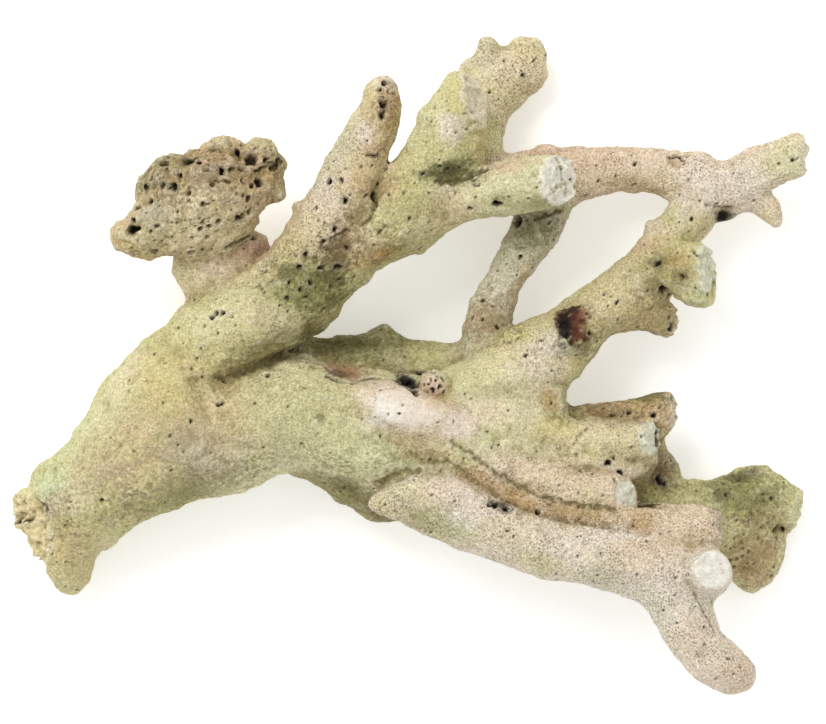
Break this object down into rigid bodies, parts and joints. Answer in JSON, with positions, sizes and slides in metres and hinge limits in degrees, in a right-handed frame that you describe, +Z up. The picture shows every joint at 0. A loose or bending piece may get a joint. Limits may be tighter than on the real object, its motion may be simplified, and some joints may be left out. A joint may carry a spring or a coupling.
{
  "type": "branching coral",
  "caption": "Dry weathered branching reef coral with a torn base, a pitted head, arching branches and broken stubs, lying flat.",
  "frame": {"origin": "centre of the footprint of the lying coral, on the surface it rests on", "axes": "+X from the broken base towards the branch tips, +Y across the piece towards the upper limb, +Z up"},
  "size_m": [0.2574, 0.2112, 0.0569],
  "materials": {
    "film_coral": "matt porous skeleton under a thin pale yellow-green film",
    "bleached_coral": "matt porous skeleton, bare pinkish cream",
    "olive_coral": "matt porous skeleton with dark olive growth",
    "pitted_coral": "matt tan skeleton, bored and pitted"
  },
  "bodies": {
    "root": {"trunk": "film_coral", "body": "film_coral", "upper_limb": "film_coral", "finger": "bleached_coral", "collar": "bleached_coral", "head": "pitted_coral", "stub_arm": "film_coral", "upper_fork": "bleached_coral", "arch": "bleached_coral", "strut": "film_coral", "right_limb": "bleached_coral", "spur": "film_coral", "knuckle": "film_coral", "back_limb": "olive_coral", "keel": "olive_coral", "boss": "bleached_coral", "branch_a": "film_coral", "branch_b": "bleached_coral", "branch_c": "bleached_coral", "web": "olive_coral", "ridge_branch": "bleached_coral", "fan": "olive_coral", "low_arm": "bleached_coral", "arm_stub": "bleached_coral"}
  },
  "joints": []
}
